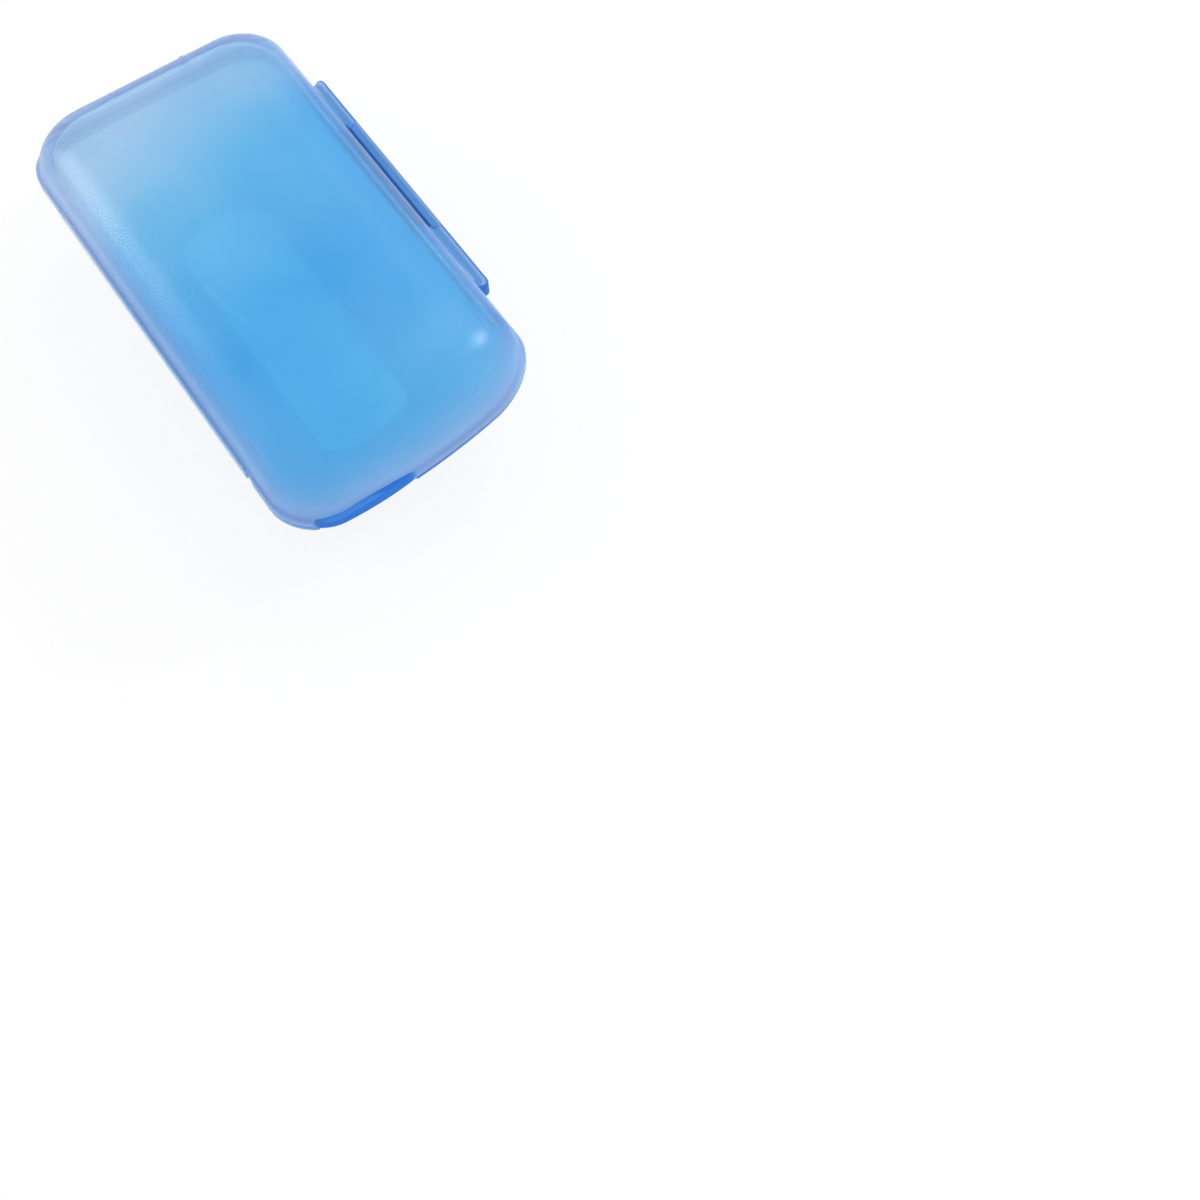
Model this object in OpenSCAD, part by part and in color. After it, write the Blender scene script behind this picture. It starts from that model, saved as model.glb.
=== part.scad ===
// Toothbrush head cover: a one-piece moulded clamshell that snaps shut round a brush head.
// X runs across the cover, from the hinge side to the clasp side. Y runs along it, from the
// neck mouth to the closed end. Z is up. The cover lies closed on the face of its back shell,
// and the origin is the centre of that face.

/* [Body] */
// Width of the shells where they meet, without the rim bead
body_w = 22.8; // [21.5:0.1:26]
// Length of the shells where they meet, without the rim bead
body_l = 44; // [41:0.5:55]
// Depth of the back shell, which the cover lies on
back_depth = 8.6; // [8:0.2:11]
// Depth of the front shell
front_depth = 6.0; // [5.6:0.2:9]
// Wall thickness of both shells
wall = 0.85; // [0.75:0.05:1.1]
// Gap left between the two closed rims
rim_gap = 0.12; // [0.06:0.02:0.16]
// Draft of the side walls, in degrees
draft = 7; // [3:0.5:8]
// Plan radius of the corners at the closed end
closed_corner_r = 3.6; // [3:0.1:4.2]
// Plan radius of the mouth end's corner on the hinge side
mouth_hinge_r = 4.2; // [3:0.1:4.8]
// Plan radius of the mouth end's corner on the clasp side
mouth_clasp_r = 5.3; // [3:0.1:6]
// How far the mouth end is swept back at half a width from the neck
mouth_crown = 1.1; // [0:0.1:1.5]
// Lean of the back shell's mouth end, in degrees on top of the draft
mouth_lean = 17; // [0:1:18]

/* [Rounding of the faces] */
// How far in from the wall the back face's rounding reaches
back_round_run = 6.2; // [4:0.2:6.4]
// Height of the back face's rounding
back_round_rise = 7.4; // [4:0.2:7.4]
// How far in from the wall the front face's rounding reaches
front_round_run = 5.2; // [3.6:0.2:6]
// Height of the front face's rounding
front_round_rise = 4.8; // [3.2:0.2:5]

/* [Rim bead] */
// How far the bead round each rim stands out from the wall
bead_out = 0.25; // [0.2:0.05:0.4]
// Height of the bead on each shell
bead_h = 0.5; // [0.5:0.05:1.1]

/* [Neck mouth] */
// Sideways place of the neck's axis, towards the hinge where negative
neck_x = -5.4; // [-5.6:0.1:-3]
// Width of the mouth in the back shell
neck_w = 7.2; // [6:0.1:7.6]
// Height of the mouth, from the rim down to the bottom of its round
neck_h = 6.2; // [5:0.1:6.6]
// Width of the visor that the front shell carries over the neck
visor_w = 8.2; // [7:0.1:8.8]
// Height of the visor
visor_h = 0.95; // [0.8:0.05:2]
// How far the visor stands out from the bead
visor_out = 0.2; // [0.1:0.05:0.4]

/* [Clasp] */
// Place of the clasp's middle along the cover
clasp_y = 2.4; // [1:0.1:3]
// Length of the finger flange along the back shell's clasp side
flange_l = 24.6; // [22:0.2:28]
// How far the finger flange stands out from the wall
flange_out = 1.45; // [1.4:0.05:2]
// Thickness of the finger flange
flange_t = 1.5; // [1.3:0.1:1.8]
// Plan radius of the finger flange's corners
flange_corner_r = 0.8; // [0.3:0.1:1.2]
// Length of the lip on the front shell, over the flange
lip_l = 24.2; // [20:0.2:27]
// How far the lip stands out from the wall
lip_out = 0.4; // [0.35:0.05:0.8]
// How far the notch for the latch is cut into the front shell's wall
notch_in = 0.5; // [0.3:0.05:0.55]
// Place of the latch tongue's middle along the cover
tongue_y = 3; // [1.5:0.1:4]
// Length of the latch tongue
tongue_l = 12; // [8:0.5:16]
// Thickness of the latch tongue
tongue_t = 0.58; // [0.5:0.02:0.62]
// Height of the latch tongue above the back shell's rim
tongue_rise = 1.4; // [1.35:0.05:1.8]
// How far the latch tongue's outer face tapers in towards its top
tongue_taper = 0.3; // [0.1:0.05:0.35]
// How far the latch tongue reaches down into the flange
tongue_root = 0.6; // [0.5:0.05:0.7]
// How far the hook bites over the catch ridge
hook_bite = 0.2; // [0.1:0.05:0.2]
// Height of the catch ridge above the front shell's rim
catch_h = 0.55; // [0.45:0.05:0.6]
// Running clearance round the latch
latch_clear = 0.08; // [0.06:0.01:0.1]
// Room for the tongue to flex outwards at its root
flex_room = 0.16; // [0.12:0.02:0.2]

/* [Hinge] */
// Length of the moulded hinge film
film_l = 30; // [20:1:31]
// Place of the hinge film's middle along the cover
film_y = 0.5; // [-1:0.5:1]
// Thickness of the hinge film at its lands
film_t = 0.2; // [0.2:0.01:0.3]
// Thickness of the hinge film at its fold
fold_t = 0.12; // [0.1:0.01:0.16]
// Height of each land of the hinge film
film_land = 0.55; // [0.45:0.05:0.8]

/* [Gate mark] */
// Sideways place of the moulding gate's stub on the closed end
gate_x = 3.5; // [0:0.5:6]
// Height of the stub above the front shell's rim
gate_z = 2.8; // [2:0.1:3.5]
// Diameter of the stub
gate_d = 0.8; // [0.6:0.1:1.4]
// How far the stub stands out from the wall
gate_out = 0.1; // [0.05:0.05:0.4]

/* [Hidden] */
$fn = 48;
shell_blue = "#6FB2E6";
clasp_blue = "#3C80DE";
half_w = body_w / 2;
half_l = body_l / 2;
back_rim_z = back_depth;
front_rim_z = back_depth + rim_gap;
parting_z = back_depth + rim_gap / 2;
// Points in a corner arc, along the crowned mouth end and up a rounding
corner_steps = 8;
crown_steps = 8;
round_steps = 8;
// Power with which the mouth end's sweep fades out along the side walls
crown_fade = 4;
// Least width and length of the plan outline's straight stretches, halved
min_straight = 0.2;
bead_bevel = 0.12;
edge_bevel = 0.2;
// Overlap that fuses an added feature with its wall
fuse = 0.35;
// Reach of a cut past the surface that it opens
past = 2;
// The rims are trimmed to this distance from the wall along the film that is moulded on
hinge_trim = 0.08;
film_clear = 0.03;
film_in_x = -half_w - hinge_trim;
// Clasp stations, outwards from the wall
notch_x = half_w - notch_in;
catch_x = notch_x + latch_clear + hook_bite;
hook_x = notch_x + latch_clear;
tongue_in_x = catch_x + latch_clear;
tongue_out_x = tongue_in_x + tongue_t;
catch_top_z = front_rim_z + catch_h;
hook_z = catch_top_z + latch_clear;
hook_lead = 0.3;
tongue_foot_z = back_rim_z - tongue_root;
tongue_top_z = back_rim_z + tongue_rise;
notch_side = 0.3;
notch_l = tongue_l + 2 * notch_side;
notch_h = tongue_rise - rim_gap + latch_clear;
tongue_corner_r = 0.5;
lip_corner_r = 0.3;

// Inset of a wall at depth s below its rim: its draft, then a quarter ellipse into the face.
function inset(s, depth, run, rise) =
    s * tan(draft) + run * (1 - sqrt(max(0, 1 - pow(max(0, s - (depth - rise)) / rise, 2))));

// Inset of the inside of the same wall.
function inner_inset(s, depth, run, rise) = wall + inset(s, depth - wall, run - wall, rise - wall);

// Corner arc of radius r about (cx, cy), starting at angle a.
function arc(cx, cy, r, a) =
    [for (i = [0:corner_steps]) let (t = a + 90 * i / corner_steps) [cx + r * cos(t), cy + r * sin(t)]];

// Sweeps the mouth end back on both sides of the neck and by the lean, fading out along the sides.
function crown(p, b, lean) =
    let (sweep = mouth_crown * pow((p.x - neck_x) / half_w, 2) + lean)
    [p.x, p.y + (p.y < 0 ? sweep * pow(-p.y / b, crown_fade) : 0)];

// Plan outline, drawn in by t from the rim's, with its mouth end leaning back by the given length.
function outline(t, lean) =
    let (a = half_w - t, b = half_l - t)
    let (rc = min(closed_corner_r, a - min_straight))
    let (rh = min(mouth_hinge_r, a - min_straight), rm = min(mouth_clasp_r, a - min_straight))
    [for (p = concat(
        arc(a - rc, b - rc, rc, 0),
        arc(rc - a, b - rc, rc, 90),
        arc(rh - a, rh - b, rh, 180),
        [for (i = [1:crown_steps - 1]) [rh - a + (2 * a - rh - rm) * i / crown_steps, -b]],
        arc(a - rm, rm - b, rm, 270))) crown(p, b, lean)];

// Depths of a rounding's stations, from the face back to the wall.
function round_depths(depth, rise) =
    [for (i = [round_steps:-1:0]) depth - rise + rise * sin(90 * i / round_steps)];

// Depths of the same stations for the inside, from the wall down to the face.
function inner_depths(depth, rise) =
    [for (i = [0:round_steps]) depth - rise + rise * sin(90 * i / round_steps)];

// Stations [depth, inset] from the outside of the face, over the bead and rim, to its inside.
function stations(depth, run, rise) = concat(
    [[depth + past, inset(depth, depth, run, rise)]],
    [for (s = round_depths(depth, rise)) [s, inset(s, depth, run, rise)]],
    [[bead_h, bead_h * tan(draft)],
     [bead_h, bead_bevel - bead_out],
     [bead_h - bead_bevel, -bead_out],
     [bead_bevel, -bead_out],
     [0, bead_bevel - bead_out],
     [0, wall]],
    [for (s = inner_depths(depth - wall, rise - wall)) [s, inner_inset(s, depth, run, rise)]]);

// Half shell with its rim at z = 0 and its face at z = -depth.
module pan(depth, run, rise, lean) {
    rings = [for (q = stations(depth, run, rise))
        [for (p = outline(q[1], q[0] * tan(lean))) [p.x, p.y, -q[0]]]];
    n = len(rings[0]);
    last = len(rings) - 1;
    difference() {
        polyhedron(
            points = [for (ring = rings) each ring],
            faces = concat(
                [[for (i = [0:n - 1]) i]],
                [for (k = [0:last - 1], i = [0:n - 1]) [k * n + i, (k + 1) * n + i, k * n + (i + 1) % n]],
                [for (k = [0:last - 1], i = [0:n - 1])
                    [k * n + (i + 1) % n, (k + 1) * n + i, (k + 1) * n + (i + 1) % n]],
                [[for (i = [n - 1:-1:0]) last * n + i]]));
        translate([-body_w, -body_l, -depth - 2 * past]) cube([2 * body_w, 2 * body_l, 2 * past]);
        translate([film_in_x - past, film_y - film_l / 2 - film_clear, -depth])
            cube([past, film_l + 2 * film_clear, depth + past]);
    }
}

// Slab along the clasp side with rounded corners, from inside the wall out to the given distance.
module side_slab(length, out, thick, corner_r) {
    corner_x = out + fuse - corner_r;
    corner_y = length / 2 - corner_r;
    translate([half_w - fuse, clasp_y, 0]) linear_extrude(thick) polygon(concat(
        [[0, -length / 2]],
        arc(corner_x, -corner_y, corner_r, 270),
        arc(corner_x, corner_y, corner_r, 0),
        [[0, length / 2]]));
}

// Neck mouth: a round-bottomed slot, open at the rim.
module mouth_cut() {
    leaned = neck_h * tan(mouth_lean);
    reach = inner_inset(neck_h, back_depth, back_round_run, back_round_rise) + leaned + wall / 2;
    mouth_r = neck_w / 2;
    translate([neck_x, -half_l - past, back_rim_z - neck_h + mouth_r]) {
        rotate([-90, 0, 0]) cylinder(r = mouth_r, h = reach + past);
        translate([-mouth_r, 0, 0]) cube([neck_w, reach + past, neck_h]);
    }
}

// Visor over the neck: a band that follows the front shell's mouth end and stands out from its bead.
module visor() {
    translate([0, 0, front_rim_z]) linear_extrude(visor_h) intersection() {
        polygon(outline(-bead_out - visor_out, 0));
        translate([neck_x - visor_w / 2, -half_l - past]) square([visor_w, past + wall - bead_bevel]);
    }
}

module back_shell() {
    color(shell_blue) difference() {
        union() {
            translate([0, 0, back_rim_z])
                pan(back_depth, back_round_run, back_round_rise, mouth_lean);
            translate([0, 0, back_rim_z - flange_t])
                side_slab(flange_l, flange_out, flange_t, flange_corner_r);
        }
        mouth_cut();
        translate([tongue_in_x, tongue_y - tongue_l / 2, tongue_foot_z] - latch_clear * [1, 1, 1])
            cube([tongue_t + latch_clear + flex_room, tongue_l + 2 * latch_clear, tongue_root + past]);
    }
}

module front_shell() {
    color(shell_blue) union() {
        difference() {
            union() {
                translate([0, 0, front_rim_z]) mirror([0, 0, 1])
                    pan(front_depth, front_round_run, front_round_rise, 0);
                translate([0, 0, front_rim_z]) side_slab(lip_l, lip_out, bead_h, lip_corner_r);
                visor();
            }
            translate([notch_x, tongue_y - notch_l / 2, front_rim_z - past])
                cube([past, notch_l, notch_h + past]);
        }
        catch_ridge();
        gate_stub();
    }
}

// Ridge in the front shell's notch that the latch hooks over, sloped on its lower side.
module catch_ridge() {
    translate([0, tongue_y + tongue_l / 2, front_rim_z]) rotate([90, 0, 0]) linear_extrude(tongue_l) polygon([
        [notch_x - wall / 4, edge_bevel / 2],
        [notch_x, edge_bevel / 2],
        [catch_x, catch_h / 2],
        [catch_x, catch_h],
        [notch_x - wall / 4, catch_h]]);
}

// Stub left by the moulding gate on the closed end.
module gate_stub() {
    face_y = half_l - inset(gate_z, front_depth, front_round_run, front_round_rise);
    translate([gate_x, face_y - wall / 2, front_rim_z + gate_z])
        rotate([-90, 0, 0]) cylinder(d = gate_d, h = wall / 2 + gate_out);
}

// Hinge film: two lands joined by a thinner fold at their outer face, which the lid turns about.
module hinge_film() {
    fold_h = rim_gap;
    fold_x = fold_t - film_t;
    color(clasp_blue) translate([film_in_x, film_y + film_l / 2, parting_z]) rotate([90, 0, 0])
        linear_extrude(film_l) polygon([
            [0, -film_land],
            [0, fold_x - fold_h],
            [fold_x, -fold_h],
            [fold_x, fold_h],
            [-film_clear, fold_h - fold_x - film_clear],
            [-film_clear, film_land],
            [film_clear - film_t, film_land],
            [-film_t, film_land - film_clear],
            [-film_t, film_clear - film_land],
            [film_clear - film_t, -film_land]]);
}

// Latch tongue: stands up from the flange, and its hook reaches in over the catch ridge.
module latch_tongue() {
    color(clasp_blue) intersection() {
        translate([0, tongue_y + tongue_l / 2, 0]) rotate([90, 0, 0]) linear_extrude(tongue_l) polygon([
            [tongue_in_x, tongue_foot_z],
            [tongue_out_x, tongue_foot_z],
            [tongue_out_x, back_rim_z],
            [tongue_out_x - tongue_taper, tongue_top_z],
            [tongue_in_x, tongue_top_z],
            [hook_x, hook_z + hook_lead],
            [hook_x, hook_z],
            [tongue_in_x, hook_z]]);
        tongue_front();
    }
}

// Face of the tongue seen from the clasp side, with its top corners rounded.
module tongue_front() {
    corner_y = tongue_l / 2 - tongue_corner_r;
    translate([notch_x, tongue_y, 0]) rotate([90, 0, 90]) linear_extrude(past) polygon(concat(
        [[-tongue_l / 2, tongue_foot_z], [tongue_l / 2, tongue_foot_z]],
        arc(corner_y, tongue_top_z - tongue_corner_r, tongue_corner_r, 0),
        arc(-corner_y, tongue_top_z - tongue_corner_r, tongue_corner_r, 90)));
}

back_shell();
front_shell();
hinge_film();
latch_tongue();
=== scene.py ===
"""Looks of a toothbrush cover: a translucent clamshell with a moulded hinge and a snap clasp."""

import math
from collections import namedtuple

import bmesh
import bpy
from mathutils import Matrix, Vector


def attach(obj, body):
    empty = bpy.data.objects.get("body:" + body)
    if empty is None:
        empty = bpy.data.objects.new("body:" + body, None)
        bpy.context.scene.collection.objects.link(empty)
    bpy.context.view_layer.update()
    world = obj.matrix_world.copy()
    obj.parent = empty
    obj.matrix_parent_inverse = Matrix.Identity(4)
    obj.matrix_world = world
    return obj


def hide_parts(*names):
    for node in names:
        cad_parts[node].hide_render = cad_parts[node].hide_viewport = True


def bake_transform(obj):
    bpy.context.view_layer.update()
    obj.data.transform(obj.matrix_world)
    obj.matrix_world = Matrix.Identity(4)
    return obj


bl_info = {
    "name": "Toothbrush cover",
    "version": (1, 0, 0),
    "blender": (4, 5, 0),
    "location": "View3D > Sidebar > Cover",
    "description": "Builds the shells, hinge film and latch of a translucent toothbrush cover",
    "category": "Add Mesh",
}

MM = 0.001

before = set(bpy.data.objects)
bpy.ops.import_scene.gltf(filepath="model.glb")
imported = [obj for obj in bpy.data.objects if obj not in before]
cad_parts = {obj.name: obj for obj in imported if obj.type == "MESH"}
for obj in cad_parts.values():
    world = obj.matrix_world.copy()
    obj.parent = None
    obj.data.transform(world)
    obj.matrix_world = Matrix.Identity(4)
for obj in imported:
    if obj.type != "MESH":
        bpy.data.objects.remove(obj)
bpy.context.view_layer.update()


def length(name, text, mm, low=0.0, high=100.0):
    """A length property, given here in millimetres and kept in metres."""
    return bpy.props.FloatProperty(
        name=name, description=text, default=mm * MM, min=low * MM, max=high * MM,
        precision=5, subtype="DISTANCE", unit="LENGTH")


def place(name, text, mm):
    """A coordinate property, given here in millimetres and kept in metres."""
    return bpy.props.FloatProperty(
        name=name, description=text, default=mm * MM, precision=5, subtype="DISTANCE", unit="LENGTH")


def tilt(name, text, degrees):
    """An angle property, given here in degrees."""
    return bpy.props.FloatProperty(
        name=name, description=text, default=math.radians(degrees), subtype="ANGLE")


def share(name, text, value, high=1.0):
    """A plain number between nothing and its highest value."""
    return bpy.props.FloatProperty(name=name, description=text, default=value, min=0.0, max=high)


def colour(name, text, rgb):
    """A linear colour."""
    return bpy.props.FloatVectorProperty(
        name=name, description=text, default=rgb, size=3, min=0.0, max=1.0, subtype="COLOR")


class ShellSizes(bpy.types.PropertyGroup):
    """Sizes that both half shells share, or that set one against the other."""

    body_w: length("Body width", "Width of the shells where they meet", 22.8)
    body_l: length("Body length", "Length of the shells where they meet", 44.0)
    back_depth: length("Back depth", "Depth of the back shell", 8.6)
    front_depth: length("Front depth", "Depth of the front shell", 6.0)
    wall: length("Wall", "Wall thickness", 0.85)
    rim_gap: length("Rim gap", "Gap between the closed rims", 0.12)
    draft: tilt("Draft", "Draft of the side walls", 7)
    closed_corner_r: length("Closed corner", "Plan radius at the closed end", 3.6)
    mouth_hinge_r: length("Mouth corner, hinge side", "Plan radius of the mouth end's hinge corner", 4.2)
    mouth_clasp_r: length("Mouth corner, clasp side", "Plan radius of the mouth end's clasp corner", 5.3)
    mouth_crown: length("Mouth crown", "Sweep of the mouth end at half a width from the mouth", 1.1)
    mouth_lean: tilt("Mouth lean", "Lean of the back shell's mouth end on top of the draft", 17)
    back_run: length("Back run", "How far in the back face's rounding reaches", 6.2)
    back_rise: length("Back rise", "Height of the back face's rounding", 7.4)
    front_run: length("Front run", "How far in the front face's rounding reaches", 5.2)
    front_rise: length("Front rise", "Height of the front face's rounding", 4.8)
    bead_out: length("Bead", "How far the rim bead stands out", 0.25)
    bead_h: length("Bead height", "Height of the rim bead", 0.5)
    edge_r: length("Edge radius", "Radius of the moulded edges", 0.13)
    hinge_trim: length("Hinge trim", "How far the rims stand out along the film", 0.08)


class MouthSizes(bpy.types.PropertyGroup):
    """Sizes of the mouth at the open end, and of the visor over it."""

    mouth_x: place("Mouth place", "Sideways place of the mouth's middle", -5.4)
    mouth_w: length("Mouth width", "Width of the slot in the back shell", 7.2)
    mouth_h: length("Mouth height", "Height of the slot", 6.2)
    corner_r: length("Mouth corners", "Radius where the slot meets the rim", 0.5)
    visor_w: length("Visor width", "Width of the visor on the front shell", 8.2)
    visor_h: length("Visor height", "Height of the visor", 0.95)
    visor_out: length("Visor reach", "How far the visor stands out from the bead", 0.2)


class ClaspSizes(bpy.types.PropertyGroup):
    """Sizes of the flange, lip, notch and latch on the clasp side."""

    clasp_y: place("Clasp place", "Place of the clasp's middle along the cover", 2.4)
    flange_l: length("Flange length", "Length of the finger flange", 24.6)
    flange_out: length("Flange", "How far the finger flange stands out", 1.45)
    flange_t: length("Flange thickness", "Thickness of the finger flange", 1.5)
    flange_corner_r: length("Flange corners", "Plan radius of the flange's corners", 0.8)
    lip_l: length("Lip length", "Length of the lip on the front shell", 24.2)
    lip_out: length("Lip", "How far the lip stands out", 0.4)
    lip_corner_r: length("Lip corners", "Plan radius of the lip's corners", 0.3)
    latch_y: place("Latch place", "Place of the latch's middle along the cover", 3.0)
    notch_l: length("Notch length", "Length of the notch for the latch", 12.6)
    notch_in: length("Notch depth", "How far the notch is cut into the wall", 0.5)
    notch_h: length("Notch height", "Height of the notch", 1.36)
    slot_l: length("Slot length", "Length of the slot that holds the tongue's foot", 12.16)
    slot_in: place("Slot inside", "Inner side of the slot, out from the wall", -0.22)
    slot_out: place("Slot outside", "Outer side of the slot, out from the wall", 0.6)
    slot_h: length("Slot depth", "Depth of the slot", 0.68)


class TongueSizes(bpy.types.PropertyGroup):
    """Sizes of the latch tongue and of the ridge that it hooks over."""

    tongue_l: length("Tongue length", "Length of the latch tongue", 12.0)
    tongue_t: length("Tongue thickness", "Thickness of the latch tongue", 0.58)
    tongue_in: place("Tongue place", "Inner face of the tongue, out from the wall", -0.14)
    tongue_rise: length("Tongue height", "Height of the tongue above the back rim", 1.4)
    tongue_taper: length("Tongue taper", "How far the outer face tapers in towards the top", 0.3)
    tongue_root: length("Tongue foot", "How far the tongue reaches down into the flange", 0.6)
    hook_in: length("Hook", "How far the hook reaches in from the tongue", 0.28)
    hook_z: length("Hook height", "Height of the hook's underside above the back rim", 0.75)
    hook_lead: length("Hook lead", "Height of the hook's upright tip", 0.3)
    tongue_corner_r: length("Tongue corners", "Radius of the tongue's top corners", 0.5)
    catch_out: length("Catch", "How far the catch ridge stands out of the notch", 0.28)
    catch_h: length("Catch height", "Height of the catch ridge above the front rim", 0.55)


class HingeSizes(bpy.types.PropertyGroup):
    """Sizes of the moulded hinge film."""

    film_l: length("Film length", "Length of the hinge film", 30.0)
    film_y: place("Film place", "Place of the film's middle along the cover", 0.5)
    film_t: length("Film thickness", "Thickness of the film's lands", 0.2)
    fold_t: length("Fold thickness", "Thickness of the film's fold", 0.12)
    film_land: length("Film land", "Height of each land", 0.55)
    fold_h: length("Fold height", "Height of the thin fold", 0.24)


class GateSizes(bpy.types.PropertyGroup):
    """Sizes of the stub that the moulding gate leaves."""

    gate_x: place("Gate place", "Sideways place of the stub", 3.5)
    gate_z: length("Gate height", "Height of the stub above the front rim", 2.8)
    gate_d: length("Gate diameter", "Diameter of the stub", 0.8)
    gate_out: length("Gate stub", "How far the stub stands out", 0.1)


class PlasticLook(bpy.types.PropertyGroup):
    """Colours and finish of the translucent plastic."""

    face_blue: colour("Face blue", "Colour of the plastic seen through a wall", (0.23, 0.67, 0.92))
    milky_blue: colour("Milky blue", "Paler blue that clouds parts of the walls", (0.33, 0.73, 0.93))
    # Painted light: the palest blue, laid on towards the closed end's hinge corner
    painted_light_blue: colour("Painted light blue", "Palest blue, painted light at the closed end's hinge corner", (0.76, 0.90, 0.97))
    edge_blue: colour("Edge blue", "Deeper blue of the rims and edges", (0.03, 0.18, 0.70))
    # Painted highlight: the paler blue of the rims' pale lines
    highlight_blue: colour("Highlight blue", "Paler blue of the painted highlights along the rims", (0.45, 0.58, 0.87))
    tint: colour("Tint", "Colour that the plastic's depth absorbs light to", (0.20, 0.60, 0.97))
    density: share("Depth of colour", "How fast colour deepens with thickness, per metre", 220.0, 5000.0)
    clear: share("Clearness", "Share of light that passes through", 0.82)
    rim_clear: share("Rim clearness", "Share of light that passes through a rim", 0.35)
    roughness: share("Roughness", "Roughness of the frosted faces", 0.16)
    rim_roughness: share("Rim roughness", "Roughness of the polished rims", 0.10)
    refraction: share("Refraction", "Index of refraction, low because thin walls bend little", 1.06, 3.0)
    coat: share("Coat", "Weight of the glossy coat on the faces", 0.25)
    rim_coat: share("Rim coat", "Weight of the glossy coat on the rims", 0.08)
    coat_roughness: share("Coat roughness", "Roughness of the coat", 0.24)
    grain: share("Grain", "Strength of the fine moulded grain", 0.03)


class StageLook(bpy.types.PropertyGroup):
    """The camera, the floor and the lights."""

    distance: length("Camera distance", "From the cover's middle to the camera", 150.0, 1.0, 5000.0)
    tilt_x: tilt("Tilt across", "Lean of the view across the cover", -13.7)
    tilt_y: tilt("Tilt along", "Lean of the view along the cover", -37.1)
    roll: tilt("Roll", "Turn of the picture about the view line", 37.3)
    centre_px: bpy.props.FloatVectorProperty(
        name="Centre", description="Where the cover's middle stands in the picture, in pixels",
        default=(281.4, 269.7), size=2)
    focal_px: share("Focal length", "Focal length, in pixels of the picture", 1845.0, 10000.0)
    aim_x: place("Aim across", "Sideways place that the camera looks at", 0.05)
    aim_y: place("Aim along", "Place along the cover that the camera looks at", 0.25)
    floor_white: colour("Floor", "Colour of the floor", (0.93, 0.93, 0.93))
    floor_glow: share("Floor glow", "Share of plain white in the floor, as the camera sees it", 0.85)
    world_light: share("World light", "Strength of the even light from all round", 0.84, 10.0)


PICTURE_PX = 1200
SENSOR_MM = 36.0
NEAR_CLIP = 5.0 * MM
FLOOR_HALF = 3000.0 * MM


def smooth(t):
    """Eases from 0 to 1."""
    t = min(1.0, max(0.0, t))
    return t * t * (3 - 2 * t)


def mix(a, b, t):
    """Value between a and b."""
    return a + (b - a) * t


def inset(s, depth, run, rise, draft):
    """How far in a wall lies at depth s below its rim: its draft, then a quarter ellipse."""
    share_up = max(0.0, s - (depth - rise)) / rise
    return s * math.tan(draft) + run * (1 - math.sqrt(max(0.0, 1 - share_up * share_up)))


class Outline:
    """Plan outline of the cover, as stations that keep their place as it is drawn in."""

    MIN_STRAIGHT = 0.2 * MM
    CROWN_FADE = 4

    def __init__(self, sizes, mouth):
        self.a = sizes.body_w / 2
        self.b = sizes.body_l / 2
        self.rc = sizes.closed_corner_r
        self.rh = sizes.mouth_hinge_r
        self.rm = sizes.mouth_clasp_r
        self.crown_by = sizes.mouth_crown
        self.mouth_x = mouth.mouth_x

    def crowned(self, x, y, b, lean=0.0):
        """Plan point, swept back by the mouth end's crown and lean where it lies on that half."""
        if y < 0:
            sweep = self.crown_by * ((x - self.mouth_x) / self.a) ** 2 + lean
            y += sweep * (-y / b) ** self.CROWN_FADE
        return x, y

    def corners(self, t):
        """Half sizes and corner radii, with the outline drawn in by t."""
        a, b = self.a - t, self.b - t
        most = a - self.MIN_STRAIGHT
        return a, b, min(self.rc, most), min(self.rh, most), min(self.rm, most)

    def point(self, station, t, lean=0.0):
        """Plan point of a station, with the outline drawn in by t and its mouth end leaning back."""
        side, v = station
        a, b, rc, rh, rm = self.corners(t)
        if side == "clasp":
            return self.crowned(a, mix(rm - b, b - rc, v), b, lean)
        if side == "hinge":
            return self.crowned(-a, mix(b - rc, rh - b, v), b, lean)
        if side == "closed":
            return mix(a - rc, rc - a, v), b
        if side == "mouth":
            return self.crowned(mix(rh - a, a - rm, v), -b, b, lean)
        turn = {"closed_clasp": 0, "closed_hinge": 90, "mouth_hinge": 180, "mouth_clasp": 270}[side]
        r = {0: rc, 90: rc, 180: rh, 270: rm}[turn]
        cx = (a - r) * (1 if turn in (0, 270) else -1)
        cy = (b - r) * (1 if turn < 180 else -1)
        angle = math.radians(turn + 90 * v)
        return self.crowned(cx + r * math.cos(angle), cy + r * math.sin(angle), b, lean)

    def clasp_station(self, y):
        """Station on the clasp side that stands at y on the rim."""
        low, high = self.rm - self.b, self.b - self.rc
        return "clasp", (y - low) / (high - low)

    def unrolled(self, station, t):
        """Distance along the mouth end, unrolled round its hinge corner, from the middle."""
        side, v = station
        a, _, _, rh, rm = self.corners(t)
        if side == "mouth":
            return mix(rh - a, a - rm, v)
        return rh - a - rh * math.pi / 2 * (1 - v)

    def unrolled_at(self, x, t):
        """The same distance for a point of the mouth end that stands at x."""
        a, _, _, rh, _ = self.corners(t)
        cx = rh - a
        if x >= cx:
            return x
        return cx - rh * math.asin(min(1.0, (cx - x) / rh))

    def rolled(self, w, t, lean):
        """Plan point at the unrolled distance w, with the outline drawn in by t."""
        a, b, _, rh, _ = self.corners(t)
        cx = rh - a
        if w >= cx:
            return self.crowned(w, -b, b, lean)
        angle = (cx - w) / rh
        return self.crowned(cx - rh * math.sin(angle), rh * (1 - math.cos(angle)) - b, b, lean)


MOST_OF_SIDE = 0.45


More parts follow.
